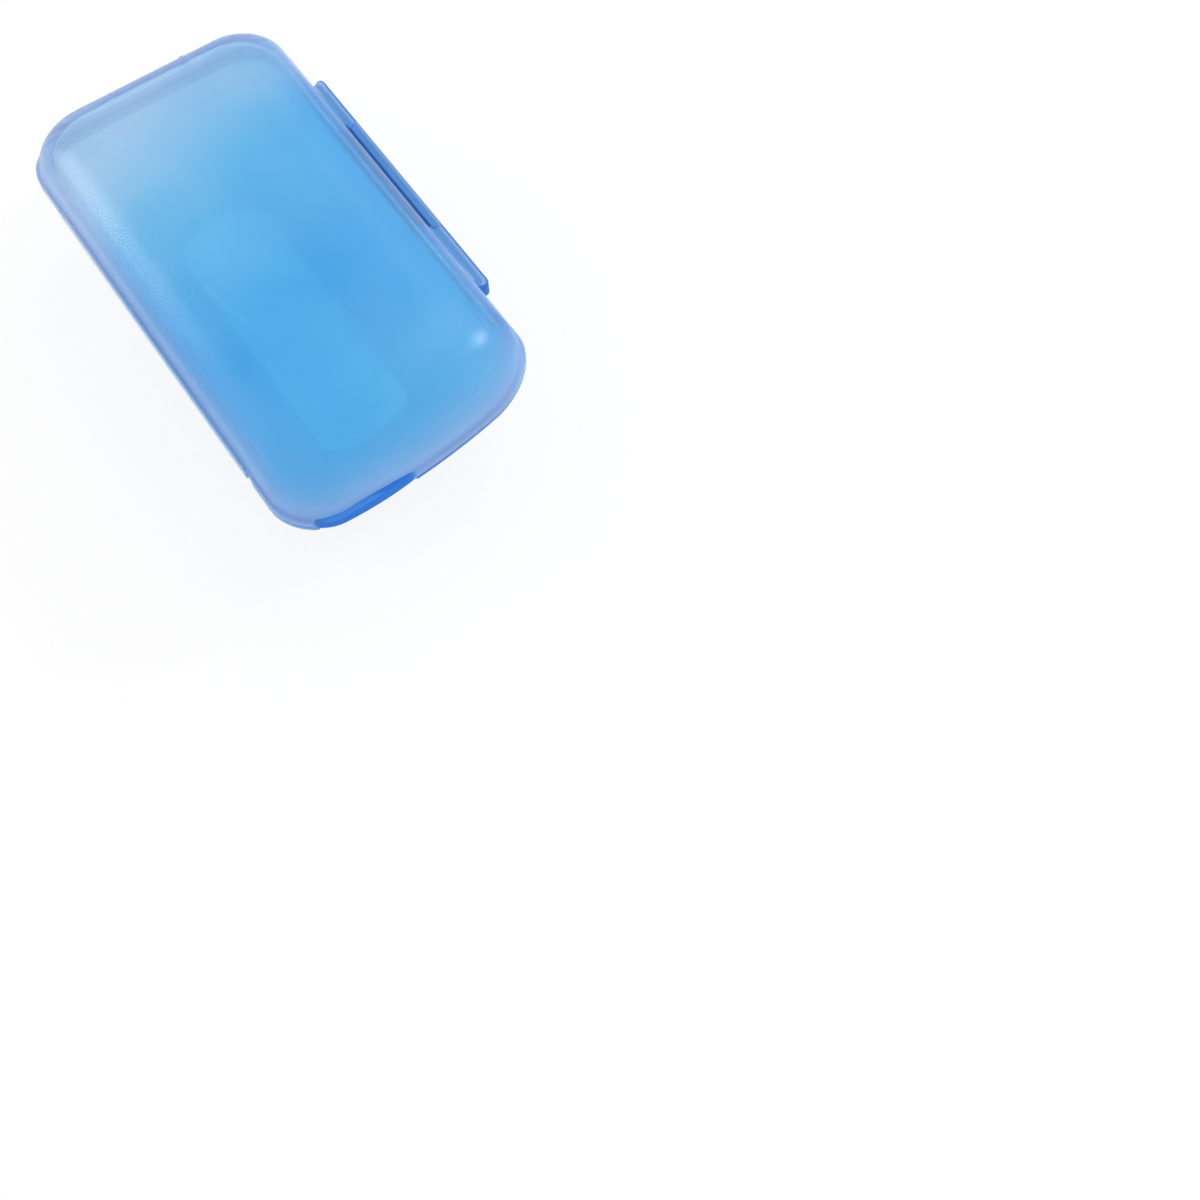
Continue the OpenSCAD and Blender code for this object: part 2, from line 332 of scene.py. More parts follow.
def rounded(corners, radii, steps):
    """Polyline with its inner corners rounded, always with the same number of points."""
    points = [Vector(corners[0])]
    for i in range(1, len(corners) - 1):
        before, here, after = (Vector(c) for c in corners[i - 1:i + 2])
        to_before, to_after = before - here, after - here
        r = min(radii[i], MOST_OF_SIDE * to_before.length, MOST_OF_SIDE * to_after.length)
        start = here + to_before.normalized() * r if r else here
        end = here + to_after.normalized() * r if r else here
        for k in range(steps + 1):
            f = k / steps
            points.append(start * (1 - f) ** 2 + here * 2 * f * (1 - f) + end * f * f)
    points.append(Vector(corners[-1]))
    return points


def even_marks(low, high, count):
    """Evenly spaced values from low to high, without the last."""
    return [mix(low, high, i / count) for i in range(count)]


def grid_mesh(name, columns, shades):
    """Closed mesh from a ring of columns, with flat caps on the first and last rows."""
    rows = len(columns[0])
    count = len(columns)
    mesh = bpy.data.meshes.new(name)
    verts = [p for column in columns for p in column]
    faces = []
    for j in range(count):
        k = (j + 1) % count
        for i in range(rows - 1):
            faces.append((j * rows + i, k * rows + i, k * rows + i + 1, j * rows + i + 1))
    faces.append([j * rows for j in range(count)][::-1])
    faces.append([j * rows + rows - 1 for j in range(count)])
    mesh.from_pydata([tuple(v) for v in verts], [], faces)
    weights = mesh.attributes.new("rim", "FLOAT", "POINT")
    weights.data.foreach_set("value", [value for column in shades for value in column])
    finish_mesh(mesh)
    return mesh


SHARP_TURN = math.radians(35)


def finish_mesh(mesh):
    """Turns the faces outwards and shades them smooth, apart from flat ends and sharp edges."""
    bm = bmesh.new()
    bm.from_mesh(mesh)
    bmesh.ops.recalc_face_normals(bm, faces=bm.faces)
    for face in bm.faces:
        face.smooth = len(face.verts) <= 4
    for edge in bm.edges:
        edge.smooth = len(edge.link_faces) == 2 and edge.calc_face_angle(0) < SHARP_TURN
    bm.to_mesh(mesh)
    bm.free()


def add_piece(name, mesh, material):
    """Object for a mesh, with its material."""
    piece = bpy.data.objects.new(name, mesh)
    bpy.context.scene.collection.objects.link(piece)
    piece.data.materials.append(material)
    return piece


class Shell:
    """Lofts one half shell: its face and walls from the outline, its rim from a section that varies."""

    FACE_ROWS = 12
    WALL_ROWS = 9
    CORNER_STEPS = 4
    REACH = 0.5 * MM
    FOOT_TURN = math.radians(57)
    INNER_FOOT_SHARE = 0.8
    RIM_SPREAD = (0.12, 0.3, 0.6, 0.8)
    WALL_EASE = 1.5
    INNER_FADE = 0.1

    def __init__(self, sizes, mouth, depth, run, rise, rim_z, up, lean=0.0):
        self.sizes = sizes
        self.lean = math.tan(lean)
        self.outline = Outline(sizes, mouth)
        self.depth, self.run, self.rise = depth, run, rise
        self.rim_z, self.up = rim_z, up
        self.foot = depth - rise * (1 - math.sin(self.FOOT_TURN))
        self.inner_foot = self.foot - sizes.wall * self.INNER_FOOT_SHARE

    def outer(self, s):
        """Inset of the outside at depth s."""
        return inset(s, self.depth, self.run, self.rise, self.sizes.draft)

    def inner(self, s):
        """Inset of the inside at depth s."""
        wall = self.sizes.wall
        return wall + inset(s, self.depth - wall, self.run - wall, self.rise - wall, self.sizes.draft)

    def z(self, s):
        """Height of depth s."""
        return self.rim_z + self.up * s

    def section(self, out, drop, slot=0.0, slot_span=(0.0, 0.0), slot_h=0.0):
        """Rim section as (inset, depth) pairs, from the outer wall over the rim to the inner wall."""
        wall, r = self.sizes.wall, self.sizes.edge_r
        spread = [mix(-out, wall, f) for f in self.RIM_SPREAD]
        inner_t, outer_t = -slot_span[0], -slot_span[1]
        corners = [
            (self.outer(drop + self.REACH), drop + self.REACH),
            (self.outer(drop), drop),
            (-out, drop),
            (-out, 0.0),
            (mix(spread[0], outer_t, slot), 0.0),
            (mix(spread[1], outer_t, slot), slot_h * slot),
            (mix(spread[2], inner_t, slot), slot_h * slot),
            (mix(spread[3], inner_t, slot), 0.0),
            (wall, 0.0),
            (self.inner(self.REACH), self.REACH),
        ]
        radii = [0, r, r, r, r / 2, r / 2, r / 2, r / 2, r, 0]
        return rounded(corners, radii, self.CORNER_STEPS)

    def face_depths(self, depth, rise, foot):
        """Depths of the rows from the face back to the foot of the walls."""
        start = math.asin(min(1.0, (foot - (depth - rise)) / rise))
        return [depth - rise * (1 - math.sin(mix(math.pi / 2, start, i / self.FACE_ROWS)))
                for i in range(self.FACE_ROWS + 1)]

    def inner_depths(self):
        """Depths of the inner face's rows, from the foot of the walls to the face."""
        wall = self.sizes.wall
        return self.face_depths(self.depth - wall, self.rise - wall, self.inner_foot)[::-1]

    def column(self, station, section):
        """One column of the loft, from the middle of the face, over the rim, to the inner face."""
        points = []

        def add(t, s):
            x, y = self.outline.point(station, t, s * self.lean)
            points.append(Vector((x, y, self.z(s))))

        for s in self.face_depths(self.depth, self.rise, self.foot):
            add(self.outer(s), s)
        top = section[0][1]
        for i in range(1, self.WALL_ROWS):
            s = mix(self.foot, top, i / self.WALL_ROWS)
            add(self.outer(s), s)
        for t, s in section:
            add(t, s)
        for i in range(1, self.WALL_ROWS):
            s = mix(section[-1][1], self.inner_foot, i / self.WALL_ROWS)
            add(self.inner(s), s)
        for s in self.inner_depths():
            add(self.inner(s), s)
        return points

    def mesh(self, name, columns, rim_shade):
        """Mesh of the columns, each point with its rim shade: 1 the deepest blue, -1 the palest, a painted
        highlight.
        """
        outside = self.FACE_ROWS + self.WALL_ROWS
        corner = self.CORNER_STEPS + 1
        shades = []
        for column in columns:
            shade = rim_shade(*column[outside][:2])
            rows = [0.0] * (self.FACE_ROWS + 1)
            rows += [shade.wall * (i / self.WALL_ROWS) ** self.WALL_EASE for i in range(1, self.WALL_ROWS)]
            rows += [shade.wall] * (corner - 1)
            rows += [shade.edge] * (2 * corner + 1) + [shade.lip]
            rows += [shade.line] * corner + [shade.top] * corner
            rows += [mix(shade.top, shade.inside, 0.5)] * corner
            rows += [shade.inside] * (2 * corner + 3) + [self.INNER_FADE * shade.inside]
            rows += [0.0] * (len(column) - len(rows))
            shades.append(rows)
        return grid_mesh(name, columns, shades)


STEP_HALF = 0.06 * MM
CLASP_STEPS = 34
HINGE_STEPS = 30
CLOSED_STEPS = (("closed_clasp", 20), ("closed", 24), ("closed_hinge", 20))
MOUTH_STEPS = (("mouth_hinge", 36), ("mouth", 56), ("mouth_clasp", 20))
BESIDE_STEP = (0.0, 0.03, 0.06, 0.1, 0.16, 0.24, 0.34, 0.46, 0.6, 0.8)
BESIDE_FILM = (-0.1, -0.05, 0.0, 0.05, 0.1, 0.15)
CLOSEST = 0.012 * MM
END_CLEAR = 0.01 * MM


def clasp_marks(sizes, *spans):
    """Places along the clasp side: even ones, and closer ones at both ends of each (middle, length)."""
    low = sizes.mouth_clasp_r - sizes.body_l / 2
    high = sizes.body_l / 2 - sizes.closed_corner_r
    marks = even_marks(low, high, CLASP_STEPS)
    for middle, span in spans:
        for end in (middle - span / 2, middle + span / 2):
            marks += [end + sign * d * MM for d in BESIDE_STEP for sign in (-1, 1)]
    kept = [low]
    for m in sorted(m for m in marks if low + END_CLEAR < m < high - END_CLEAR):
        if m - kept[-1] > CLOSEST:
            kept.append(m)
    return kept


def hinge_marks(sizes, hinge):
    """Stations along the hinge side, closer at the ends of the film."""
    high = sizes.body_l / 2 - sizes.closed_corner_r
    low = sizes.mouth_hinge_r - sizes.body_l / 2
    marks = even_marks(high, low, HINGE_STEPS)
    for sign in (-1, 1):
        end = hinge.film_y + sign * hinge.film_l / 2
        marks += [end + d * MM for d in BESIDE_FILM]
    return sorted((high - m) / (high - low) for m in marks if low < m <= high)


def span_weight(y, middle, span):
    """1 within a span along the cover, 0 outside it, with a steep eased step at both ends."""
    inside = span / 2 - abs(y - middle)
    return smooth((inside + STEP_HALF) / (2 * STEP_HALF))


def slab_reach(y, middle, span, out, corner_r):
    """How far a slab with rounded corners stands out at y."""
    inside = min(max(0.0, span / 2 - abs(y - middle)), corner_r)
    return out - corner_r + math.sqrt(max(0.0, corner_r ** 2 - (corner_r - inside) ** 2))


def even_stations(steps):
    """Even stations on each of the given sides, in order."""
    return [(side, v) for side, count in steps for v in even_marks(0.0, 1.0, count)]


RimShade = namedtuple("RimShade", "wall edge lip line top inside")

# Shades, from -1 for the palest blue to 1 for the deepest; the pale ones are painted highlights
HIGHLIGHT_LINE = -0.8
BACK_HIGHLIGHT = -0.35
FRONT_HIGHLIGHT = -0.8
LIP_HIGHLIGHT = -0.25
DEEP_EDGE = 0.85
SLOT_SIDE = 0.8
FLANGE_TOP = 0.38
NOTCH_EDGE = 0.25
# Painted shade: the latch's shadow on the wall above the notch
PAINTED_LATCH_SHADOW = 0.3
VISOR_LINE = 0.6

# Lengths over which one shade turns into the next; a pair is where that starts and its length
MOUTH_FADE = 5.0 * MM
BESIDE_MOUTH = (-7.0 * MM, 4.0 * MM)
FLANGE_FADE = 0.3 * MM
SLOT_FADE = 0.1 * MM
NOTCH_FADE = 0.05 * MM
LATCH_SHADOW_FADE = (-0.6 * MM, 1.6 * MM)
LIP_FADE = 2.5 * MM
VISOR_FADE = 0.5 * MM


def back_shade(sizes, clasp, x, y):
    """Shades of the back rim: deep at the mouth end and at the flange's edge, with painted highlights as
    pale lines between.
    """
    at_mouth = smooth((MOUTH_FADE - sizes.body_l / 2 - y) / MOUTH_FADE)
    at_mouth *= smooth((x - BESIDE_MOUTH[0]) / BESIDE_MOUTH[1])
    flange = smooth((clasp.flange_l / 2 - abs(y - clasp.clasp_y)) / FLANGE_FADE) if x > 0 else 0.0
    slot = smooth((clasp.slot_l / 2 - abs(y - clasp.latch_y)) / SLOT_FADE) * flange
    rim = BACK_HIGHLIGHT * (1 - flange)
    return RimShade(
        wall=rim,
        edge=mix(rim, DEEP_EDGE, max(at_mouth, flange)),
        lip=mix(mix(rim, DEEP_EDGE, flange), HIGHLIGHT_LINE, slot),
        line=mix(mix(rim, HIGHLIGHT_LINE, flange), SLOT_SIDE, slot),
        top=mix(FLANGE_TOP * flange, SLOT_SIDE, slot),
        inside=0.0)


def front_shade(mouth, clasp, x, y):
    """Shades of the front rim: deep along the visor and through the latch's notch, painted highlights
    elsewhere, and painted shade on the wall above the latch.
    """
    notch = latch_shadow = visor = lip = 0.0
    if x > 0:
        from_notch_end = clasp.notch_l / 2 - abs(y - clasp.latch_y)
        notch = smooth(from_notch_end / NOTCH_FADE)
        # Painted shade of the latch on the wall, fading past the notch's ends
        latch_shadow = smooth((from_notch_end - LATCH_SHADOW_FADE[0]) / LATCH_SHADOW_FADE[1])
        lip = smooth((clasp.lip_l / 2 - abs(y - clasp.clasp_y)) / LIP_FADE)
    elif y < 0:
        visor = smooth((mouth.visor_w / 2 - abs(x - mouth.mouth_x)) / VISOR_FADE)
    plain = mix(FRONT_HIGHLIGHT, LIP_HIGHLIGHT, lip)
    rim = plain * (1 - notch)
    inner = NOTCH_EDGE * notch
    deep = mix(rim, 1.0, max(inner, visor))
    return RimShade(
        wall=mix(plain, PAINTED_LATCH_SHADOW, latch_shadow),
        edge=deep,
        lip=deep,
        line=mix(rim, 1.0, max(inner, VISOR_LINE * visor)),
        top=inner,
        inside=inner)


def trimmed_out(sizes, hinge, out, y):
    """How far the rim stands out on the hinge side, where it is trimmed along the film."""
    beside = span_weight(y, hinge.film_y, hinge.film_l + 2 * STEP_HALF)
    return mix(out, min(out, sizes.hinge_trim), beside)


CRESCENT_EASE = 0.75


def front_mesh(sizes, mouth, clasp, hinge):
    """The front shell, with its lip, notch and visor in the rim's section."""
    rim_z = sizes.back_depth + sizes.rim_gap
    shell = Shell(sizes, mouth, sizes.front_depth, sizes.front_run, sizes.front_rise, rim_z, 1)
    middle, latch = clasp.clasp_y, clasp.latch_y
    marks = clasp_marks(sizes, (middle, clasp.lip_l), (latch, clasp.notch_l))
    ring = [shell.outline.clasp_station(y) for y in marks] + even_stations(CLOSED_STEPS)
    ring += [("hinge", v) for v in hinge_marks(sizes, hinge)] + even_stations(MOUTH_STEPS)
    columns = []
    for station in ring:
        x, y = shell.outline.point(station, 0.0)
        out, drop = sizes.bead_out, sizes.bead_h
        if station[0] == "clasp":
            lip = span_weight(y, middle, clasp.lip_l)
            reach = slab_reach(y, middle, clasp.lip_l, clasp.lip_out, clasp.lip_corner_r)
            notch = span_weight(y, latch, clasp.notch_l)
            out = mix(mix(out, reach, lip), -clasp.notch_in, notch)
            drop = mix(drop, clasp.notch_h, notch)
        if station[0] in ("mouth_hinge", "mouth") and y < 0:
            across = (x - mouth.mouth_x) / (mouth.visor_w / 2)
            crescent = max(0.0, 1 - across * across) ** CRESCENT_EASE
            out += mouth.visor_out * crescent
            drop = mix(drop, mouth.visor_h, crescent)
        if station[0] == "hinge":
            out = trimmed_out(sizes, hinge, out, y)
        columns.append(shell.column(station, shell.section(out, drop)))
    return shell.mesh("front_shell_skin", columns, lambda x, y: front_shade(mouth, clasp, x, y))


MOUTH_END = 0.55
BEYOND_STEPS = 24
MOUTH_DROP = 0.3 * MM
LEFT_RIM_STEPS, RIGHT_RIM_STEPS = 14, 8
SIDE_STEPS, TURN_STEPS, BOTTOM_STEPS = 8, 6, 32
# Share of the walls' foot below each stretch's end, round the mouth from left to right
FOOT_SHARES = (0.0, 0.09, 0.11, 0.14, 0.76, 0.80, 0.83, 1.0)


def mouth_path(mouth, shell, left, right):
    """Edge of the back shell round the mouth, as (unrolled distance, depth, weight, foot share)."""
    outline = shell.outline
    r, c = mouth.mouth_w / 2, mouth.corner_r
    straight = mouth.mouth_h - r
    x0, x1 = mouth.mouth_x - r, mouth.mouth_x + r
    t0 = shell.outer(0.0)
    start, end = outline.unrolled(left, t0), outline.unrolled(right, t0)
    slot_start, slot_end = outline.unrolled_at(x0, t0) - c, outline.unrolled_at(x1 + c, t0)

    def on_rim(low, high):
        return lambda f: (mix(low, high, f), 0.0, 0.0)

    def below(x, s, weight):
        return outline.unrolled_at(x, shell.outer(s)), s, weight

    def left_corner(f):
        turn = math.pi / 2 * f
        return below(x0 - c + c * math.sin(turn), c - c * math.cos(turn), f)

    def bottom(f):
        turn = math.pi * f
        return below(mouth.mouth_x - r * math.cos(turn), straight + r * math.sin(turn), 1.0)

    def right_corner(f):
        turn = math.pi / 2 * f
        return below(x1 + c - c * math.cos(turn), c - c * math.sin(turn), 1 - f)

    stretches = (
        (on_rim(start, slot_start), range(LEFT_RIM_STEPS), LEFT_RIM_STEPS),
        (left_corner, range(TURN_STEPS + 1), TURN_STEPS),
        (lambda f: below(x0, mix(c, straight, f), 1.0), range(1, SIDE_STEPS), SIDE_STEPS),
        (bottom, range(BOTTOM_STEPS + 1), BOTTOM_STEPS),
        (lambda f: below(x1, mix(straight, c, f), 1.0), range(1, SIDE_STEPS), SIDE_STEPS),
        (right_corner, range(TURN_STEPS + 1), TURN_STEPS),
        (on_rim(slot_end, end), range(1, RIGHT_RIM_STEPS), RIGHT_RIM_STEPS),
    )
    path = []
    for (stretch, steps, count), low, high in zip(stretches, FOOT_SHARES, FOOT_SHARES[1:]):
        path += [(*stretch(i / count), mix(low, high, i / count)) for i in steps]
    return path


def mouth_columns(sizes, mouth, shell, left, right):
    """Columns of the back shell that run from its edge round the mouth down into the face."""
    path = mouth_path(mouth, shell, left, right)
    columns = [shell.column(left, shell.section(sizes.bead_out, sizes.bead_h))]
    for j, (w, s, weight, foot_share) in enumerate(path[1:], 1):
        back, ahead = path[j - 1], path[min(j + 1, len(path) - 1)]
        along = Vector((ahead[0] - back[0], ahead[1] - back[1])).normalized()
        away = Vector((-along.y, along.x))
        section = shell.section(sizes.bead_out * (1 - weight), mix(sizes.bead_h, MOUTH_DROP, weight))
        points = []

        def add(place_w, place_s, off):
            x, y = shell.outline.rolled(place_w, off, place_s * shell.lean)
            points.append(Vector((x, y, shell.z(place_s))))

        def foot_at(drawn):
            low = shell.outline.unrolled(left, drawn)
            high = shell.outline.unrolled(right, drawn)
            return mix(low, high, foot_share)

        def add_face(depths, side):
            for depth in depths:
                add(foot_at(side(depth)), depth, side(depth))

        def add_wall(start, end, side):
            for i in range(1, shell.WALL_ROWS):
                f = i / shell.WALL_ROWS
                depth = mix(start[1], end[1], f)
                add(mix(start[0], end[0], f), depth, side(depth))

        def from_edge(reach):
            return w + away.x * reach, s + away.y * reach

        add_face(shell.face_depths(shell.depth, shell.rise, shell.foot), shell.outer)
        foot = foot_at(shell.outer(shell.foot)), shell.foot
        add_wall(foot, from_edge(section[0][1]), shell.outer)
        for t, d in section:
            place_w, place_s = from_edge(d)
            add(place_w, place_s, shell.outer(place_s) + (t - shell.outer(d)))
        inner_foot = foot_at(shell.inner(shell.inner_foot)), shell.inner_foot
        add_wall(from_edge(section[-1][1]), inner_foot, shell.inner)
        add_face(shell.inner_depths(), shell.inner)
        columns.append(points)
    return columns


def back_mesh(sizes, mouth, clasp, hinge):
    """The back shell, with its flange, the tongue's slot and the mouth."""
    shell = Shell(
        sizes, mouth, sizes.back_depth, sizes.back_run, sizes.back_rise, sizes.back_depth, -1,
        sizes.mouth_lean)
    middle, latch = clasp.clasp_y, clasp.latch_y
    columns = []
    for y in clasp_marks(sizes, (middle, clasp.flange_l), (latch, clasp.slot_l)):
        flange = span_weight(y, middle, clasp.flange_l)
        reach = slab_reach(y, middle, clasp.flange_l, clasp.flange_out, clasp.flange_corner_r)
        section = shell.section(
            mix(sizes.bead_out, reach, flange),
            mix(sizes.bead_h, clasp.flange_t, flange),
            span_weight(y, latch, clasp.slot_l),
            (clasp.slot_in, clasp.slot_out),
            clasp.slot_h)
        columns.append(shell.column(shell.outline.clasp_station(y), section))

    beaded = shell.section(sizes.bead_out, sizes.bead_h)
    columns += [shell.column(station, beaded) for station in even_stations(CLOSED_STEPS)]
    for v in hinge_marks(sizes, hinge):
        station = "hinge", v
        out = trimmed_out(sizes, hinge, sizes.bead_out, shell.outline.point(station, 0.0)[1])
        columns.append(shell.column(station, shell.section(out, sizes.bead_h)))
    columns += mouth_columns(sizes, mouth, shell, ("mouth_hinge", 0.0), ("mouth", MOUTH_END))
    beyond = [("mouth", v) for v in even_marks(MOUTH_END, 1.0, BEYOND_STEPS)]
    columns += [shell.column(station, beaded) for station in beyond + even_stations(MOUTH_STEPS[2:])]
    return shell.mesh("back_shell_skin", columns, lambda x, y: back_shade(sizes, clasp, x, y))


def ringed_mesh(name, rings, ends=None):
    """Closed mesh of rings of points, with flat ends or with the given faces of points at both."""
    bm = bmesh.new()
    made = [[bm.verts.new(point) for point in ring] for ring in rings]
    for a, b in zip(made, made[1:]):
        for i in range(len(a)):
            k = (i + 1) % len(a)
            bm.faces.new((a[i], b[i], b[k], a[k]))
    for ring, turn in ((made[0], 1), (made[-1], -1)):
        for end in ends or [range(len(ring))]:
            bm.faces.new([ring[i] for i in end][::turn])
    mesh = bpy.data.meshes.new(name)
    bm.to_mesh(mesh)
    bm.free()
    return mesh


def bevelled(mesh, width, segments, angle):
    """Rounds a mesh's sharp edges."""
    bm = bmesh.new()
    bm.from_mesh(mesh)
    bmesh.ops.recalc_face_normals(bm, faces=bm.faces)
    edges = [e for e in bm.edges if e.calc_face_angle(0) > angle]
    bmesh.ops.bevel(
        bm, geom=edges, offset=width, segments=segments, profile=0.5, affect="EDGES", clamp_overlap=True)
    bm.to_mesh(mesh)
    bm.free()
    return mesh


def moulded(mesh, shade):
    """Finishes a small piece and gives all its points the same rim shade."""
    finish_mesh(mesh)
    mesh.attributes.new("rim", "FLOAT", "POINT").data.foreach_set("value", [shade] * len(mesh.vertices))
    return mesh


TONGUE_TURN_STEPS = 6
TONGUE_EDGE, TONGUE_SHARP = 0.06 * MM, math.radians(38)
RIDGE_EDGE, RIDGE_SHARP = 0.04 * MM, math.radians(30)
LEAST_TIP = 0.1 * MM
RIDGE_CLEAR = 0.1 * MM


def tongue_mesh(sizes, clasp, tongue):
    """The latch tongue, with its hook and rounded top corners."""
    x_in = sizes.body_w / 2 + tongue.tongue_in
    x_out = x_in + tongue.tongue_t
    x_hook = x_in - tongue.hook_in
    rim = sizes.back_depth
    top, foot, hook = rim + tongue.tongue_rise, rim - tongue.tongue_root, rim + tongue.hook_z
    half, r = tongue.tongue_l / 2, tongue.tongue_corner_r

    def section(drop):
        high = top - drop
        leaned = tongue.tongue_taper * (high - rim) / tongue.tongue_rise
        return [(x_in, foot), (x_out, foot), (x_out, rim), (x_out - leaned, high), (x_in, high),
                (x_hook, min(hook + tongue.hook_lead, high - LEAST_TIP)), (x_hook, hook), (x_in, hook)]

    rows = []
    for i in range(TONGUE_TURN_STEPS + 1):
        angle = math.pi / 2 * i / TONGUE_TURN_STEPS
        rows.append((-half + r - r * math.cos(angle), r - r * math.sin(angle)))
    rows += [(-y, drop) for y, drop in rows[::-1]]
    rings = [[(x, clasp.latch_y + y, z) for x, z in section(drop)] for y, drop in rows]
    mesh = ringed_mesh("latch_tongue_skin", rings)
    return moulded(bevelled(mesh, TONGUE_EDGE, 3, TONGUE_SHARP), 1.0)


def catch_mesh(sizes, clasp, tongue):
    """The catch ridge in the front shell's notch."""
    floor = sizes.body_w / 2 - clasp.notch_in
    rim = sizes.back_depth + sizes.rim_gap
    root, tip = floor - sizes.wall / 4, floor + tongue.catch_out
    low, high = rim + RIDGE_CLEAR, rim + tongue.catch_h
    section = [(root, low), (floor, low), (tip, rim + tongue.catch_h / 2), (tip, high), (root, high)]
    ends = (clasp.latch_y - tongue.tongue_l / 2, clasp.latch_y + tongue.tongue_l / 2)
    mesh = ringed_mesh("catch_ridge_skin", [[(x, y, z) for x, z in section] for y in ends])
    return moulded(bevelled(mesh, RIDGE_EDGE, 2, RIDGE_SHARP), 1.0)


GATE_SIDES = 32
GATE_SHADE = 0.4
# How far back from the stub's tip each ring stands, and its share of the radius
GATE_TIP = ((0.08 * MM, 1.0), (0.02 * MM, 0.94), (0.0, 0.8), (0.05 * MM, 0.45))


def gate_mesh(sizes, gate):
    """The gate's stub: a short broken-off pin with a dished end."""
    face_y = sizes.body_l / 2 - inset(
        gate.gate_z, sizes.front_depth, sizes.front_run, sizes.front_rise, sizes.draft)
    end = face_y + gate.gate_out
    r = gate.gate_d / 2
    z = sizes.back_depth + sizes.rim_gap + gate.gate_z
    stations = [(face_y - sizes.wall / 2, r)] + [(end - back, r * part) for back, part in GATE_TIP]
    turns = [2 * math.pi * i / GATE_SIDES for i in range(GATE_SIDES)]
    rings = [[(gate.gate_x + q * math.cos(turn), y, z + q * math.sin(turn)) for turn in turns]
             for y, q in stations]
    return moulded(ringed_mesh("gate_stub_skin", rings), GATE_SHADE)


FILM_CLEAR = 0.02 * MM
# The film is paled part way towards the painted highlight blue
FILM_HIGHLIGHT = -0.5
FILM_STEPS, FOLD_STEPS = 40, 16
LAND_ROW = 0.6


def film_mesh(sizes, hinge):
    """The hinge film: a thick land on each shell and a thin fold between them."""
    inside = -sizes.body_w / 2 - sizes.hinge_trim
    outside = inside - hinge.film_t
    middle = sizes.back_depth + sizes.rim_gap / 2
    slope = hinge.film_t - hinge.fold_t
    bend = hinge.fold_h / 2 + slope
    land = hinge.film_land
    heights = [-land, -land * LAND_ROW]
    heights += [mix(-bend, bend, i / FOLD_STEPS) for i in range(FOLD_STEPS + 1)]
    heights += [land * LAND_ROW, land]
    section = []
    for h in heights:
        thin = smooth((bend - abs(h)) / slope)
        section.append((mix(inside, outside + hinge.fold_t, thin) - FILM_CLEAR, middle + h))
    section += [(outside, middle + h) for h in heights[::-1]]
    low, high = hinge.film_y - hinge.film_l / 2, hinge.film_y + hinge.film_l / 2
    places = [mix(low, high, i / FILM_STEPS) for i in range(FILM_STEPS + 1)]
    last = len(section) - 1
    ends = [(i, i + 1, last - 1 - i, last - i) for i in range(len(heights) - 1)]
    rings = [[(x, y, z) for x, z in section] for y in places]
    return moulded(ringed_mesh("hinge_film_skin", rings, ends), FILM_HIGHLIGHT)


# Noise scales in turns per metre
WANDER, CLOUD, FLOW, GRAIN = 90.0, 70.0, 420.0, 1400.0
WANDER_SHARE = (0.3, 0.7)
WANDER_BY = 2.0 * MM
CLOUD_SHARE = (0.35, 0.68)
FLOW_SHARE = (0.3, 0.7)
ROUGHER, SMOOTHER = 0.05, 0.04
GRAIN_HEIGHT = 0.02 * MM
COAT_FADE = 0.8
# Direction and reach of the painted light at the closed end's hinge corner
PAINTED_LIGHT_TOWARD = (-0.45, 0.89, 0.0)
PAINTED_LIGHT_REACH = (2.0 * MM, 19.0 * MM)


def node(tree, kind, **values):
    """Adds a shader node and sets its inputs by name and its properties."""
    made = tree.nodes.new(kind)
    for key, value in values.items():
        name = key.replace("_", " ")
        if hasattr(made, key):
            setattr(made, key, value)
        else:
            made.inputs[name].default_value = value
    return made


def link(tree, out_node, out_name, in_node, in_name):
    """Links two sockets by name or number."""
    tree.links.new(out_node.outputs[out_name], in_node.inputs[in_name])


def noise(tree, coords, scale, detail):
    """Noise in object space, with its scale in turns per metre."""
    made = node(tree, "ShaderNodeTexNoise", Scale=scale, Detail=detail)
    link(tree, coords, "Object", made, "Vector")
    return made


def feed(tree, value, socket):
    """Gives a socket its value: another socket, a number or a colour."""
    if isinstance(value, bpy.types.NodeSocket):
        tree.links.new(value, socket)
    else:
        socket.default_value = value


def ramp(tree, source, low, high, to_low, to_high, easing="LINEAR"):
    """Maps a value between two limits to another pair."""
    made = node(tree, "ShaderNodeMapRange", clamp=True, interpolation_type=easing)
    for name, value in zip(("From Min", "From Max", "To Min", "To Max"), (low, high, to_low, to_high)):
        made.inputs[name].default_value = value
    tree.links.new(source, made.inputs["Value"])
    return made.outputs["Result"]


def blend_colour(tree, factor, first, second):
    """Mixes two colours, each a colour or a socket."""
    made = tree.nodes.new("ShaderNodeMix")
    made.data_type = "RGBA"
    tree.links.new(factor, made.inputs["Factor"])
    for name, value in (("A", first), ("B", second)):
        feed(tree, value, next(s for s in made.inputs if s.name == name and s.type == "RGBA"))
    return next(s for s in made.outputs if s.type == "RGBA")


def combined(tree, operation, first, second):
    """Sum, product or greater of two values, each a number or a socket."""
    made = node(tree, "ShaderNodeMath", operation=operation)
    for i, value in enumerate((first, second)):
        feed(tree, value, made.inputs[i])
    return made.outputs[0]


def reach_along(tree, coords, name, toward):
    """How far a point lies, or a ray looks, along a direction."""
    made = node(tree, "ShaderNodeVectorMath", operation="DOT_PRODUCT")
    link(tree, coords, name, made, 0)
    made.inputs[1].default_value = toward
    return made.outputs["Value"]


def painted_light_share(tree, coords):
    """How far the painted light reaches: full in the closed end's hinge corner, none past the middle."""
    wander = noise(tree, coords, WANDER, 2.0).outputs["Fac"]
    drift = ramp(tree, wander, *WANDER_SHARE, -WANDER_BY, WANDER_BY)
    placed = combined(tree, "ADD", reach_along(tree, coords, "Object", PAINTED_LIGHT_TOWARD), drift)
    return ramp(tree, placed, *PAINTED_LIGHT_REACH, 0.0, 1.0, "SMOOTHSTEP")


